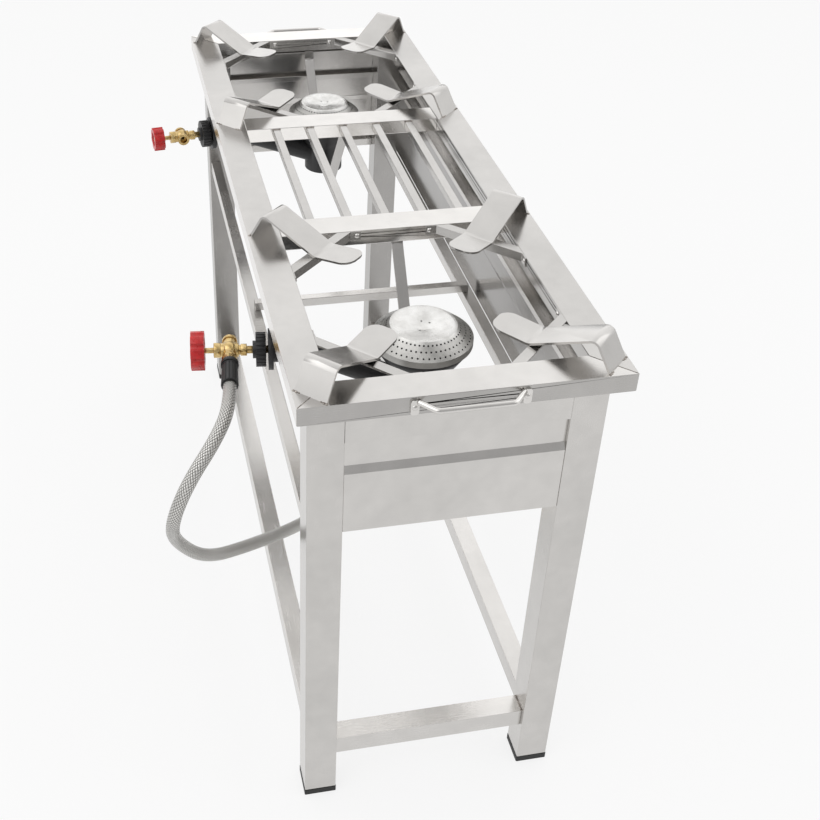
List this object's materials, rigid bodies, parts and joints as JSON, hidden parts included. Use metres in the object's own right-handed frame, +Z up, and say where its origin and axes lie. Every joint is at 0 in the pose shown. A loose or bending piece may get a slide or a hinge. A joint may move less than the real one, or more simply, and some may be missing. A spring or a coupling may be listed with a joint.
{
  "type": "stock pot range",
  "caption": "Long low stock pot range of folded stainless sheet with cast burners, bent corner pot supports, side valves with handwheels, end handles and a braided gas hose.",
  "frame": {"origin": "middle of the footprint on the floor, handwheels and handles counted and the free gas hose left out", "axes": "+X along the range towards the end whose valve carries the hose, -Y towards the gas valves, +Z up"},
  "size_m": [1.216, 0.5501, 0.7605],
  "materials": {
    "satin_stainless": "satin",
    "bright_steel": "semi-bright",
    "burner_aluminium": "as cast, lightly polished",
    "black_cast_iron": "black, matt",
    "brass": "satin",
    "red_enamel": "gloss",
    "steel_braid": "braided, satin",
    "black_sleeve": "matt",
    "black_rubber": "matt"
  },
  "bodies": {
    "range_frame": {"apron_back": "satin_stainless", "apron_far": "satin_stainless", "apron_front": "satin_stainless", "apron_near": "satin_stainless", "burner_body_far": "black_cast_iron", "burner_body_near": "black_cast_iron", "burner_hanger_far": "satin_stainless", "burner_hanger_near": "satin_stainless", "corner_braces_far": "satin_stainless", "corner_braces_near": "satin_stainless", "cross_member_far": "satin_stainless", "cross_member_near": "satin_stainless", "foot_caps": "black_rubber", "gas_hose": "steel_braid", "gland_nuts": "brass", "grill_bars": "satin_stainless", "handle_far": "bright_steel", "handle_near": "bright_steel", "hanger_bolts": "bright_steel", "hose_end_fitting": "black_sleeve", "hose_nut": "black_sleeve", "hose_union": "brass", "injector_nipples": "brass", "leg_far_back": "satin_stainless", "leg_far_front": "satin_stainless", "leg_near_back": "satin_stainless", "leg_near_front": "satin_stainless", "port_plugs": "brass", "pot_support_far_1": "satin_stainless", "pot_support_far_2": "satin_stainless", "pot_support_far_3": "satin_stainless", "pot_support_far_4": "satin_stainless", "pot_support_near_1": "satin_stainless", "pot_support_near_2": "satin_stainless", "pot_support_near_3": "satin_stainless", "pot_support_near_4": "satin_stainless", "ring_tube_cross": "satin_stainless", "ring_tubes_end": "satin_stainless", "ring_tubes_side": "satin_stainless", "rivets": "bright_steel", "stretcher_back": "satin_stainless", "stretcher_front": "satin_stainless", "stretcher_near": "satin_stainless", "top_rail_back": "satin_stainless", "top_rail_far": "satin_stainless", "top_rail_front": "satin_stainless", "top_rail_near": "satin_stainless", "valve_body_far": "brass", "valve_body_near": "brass", "wind_shield_back": "satin_stainless", "wind_shield_far": "satin_stainless", "wind_shield_near": "satin_stainless"},
    "handwheel_near": {"handwheel_near": "red_enamel", "valve_spindle_near": "brass"},
    "handwheel_far": {"handwheel_far": "red_enamel", "valve_spindle_far": "brass"},
    "air_shutter_near": {"air_shutter_near": "black_cast_iron"},
    "air_shutter_far": {"air_shutter_far": "black_cast_iron"},
    "burner_cap_near": {"burner_cap_near": "burner_aluminium"},
    "burner_cap_far": {"burner_cap_far": "burner_aluminium"}
  },
  "joints": [
    {"name": "handwheel_near_turn", "type": "hinge", "parent": "range_frame", "child": "handwheel_near", "pos_m": [0.32752, -0.23444, 0.641], "axis": [-0.1219, -0.9925, 0], "range_deg": [0, 720]},
    {"name": "air_shutter_near_turn", "type": "hinge", "parent": "range_frame", "child": "air_shutter_near", "pos_m": [0.33702, -0.15703, 0.641], "axis": [-0.1219, -0.9925, 0], "range_deg": [-180, 180]},
    {"name": "burner_cap_near_lift", "type": "slide", "parent": "range_frame", "child": "burner_cap_near", "axis": [0, 0, 1], "range_m": [0, 0.06]},
    {"name": "handwheel_far_turn", "type": "hinge", "parent": "range_frame", "child": "handwheel_far", "pos_m": [-0.32752, -0.23444, 0.641], "axis": [0.1219, -0.9925, 0], "range_deg": [0, 720]},
    {"name": "air_shutter_far_turn", "type": "hinge", "parent": "range_frame", "child": "air_shutter_far", "pos_m": [-0.33702, -0.15703, 0.641], "axis": [0.1219, -0.9925, 0], "range_deg": [-180, 180]},
    {"name": "burner_cap_far_lift", "type": "slide", "parent": "range_frame", "child": "burner_cap_far", "axis": [0, 0, 1], "range_m": [0, 0.06]}
  ]
}
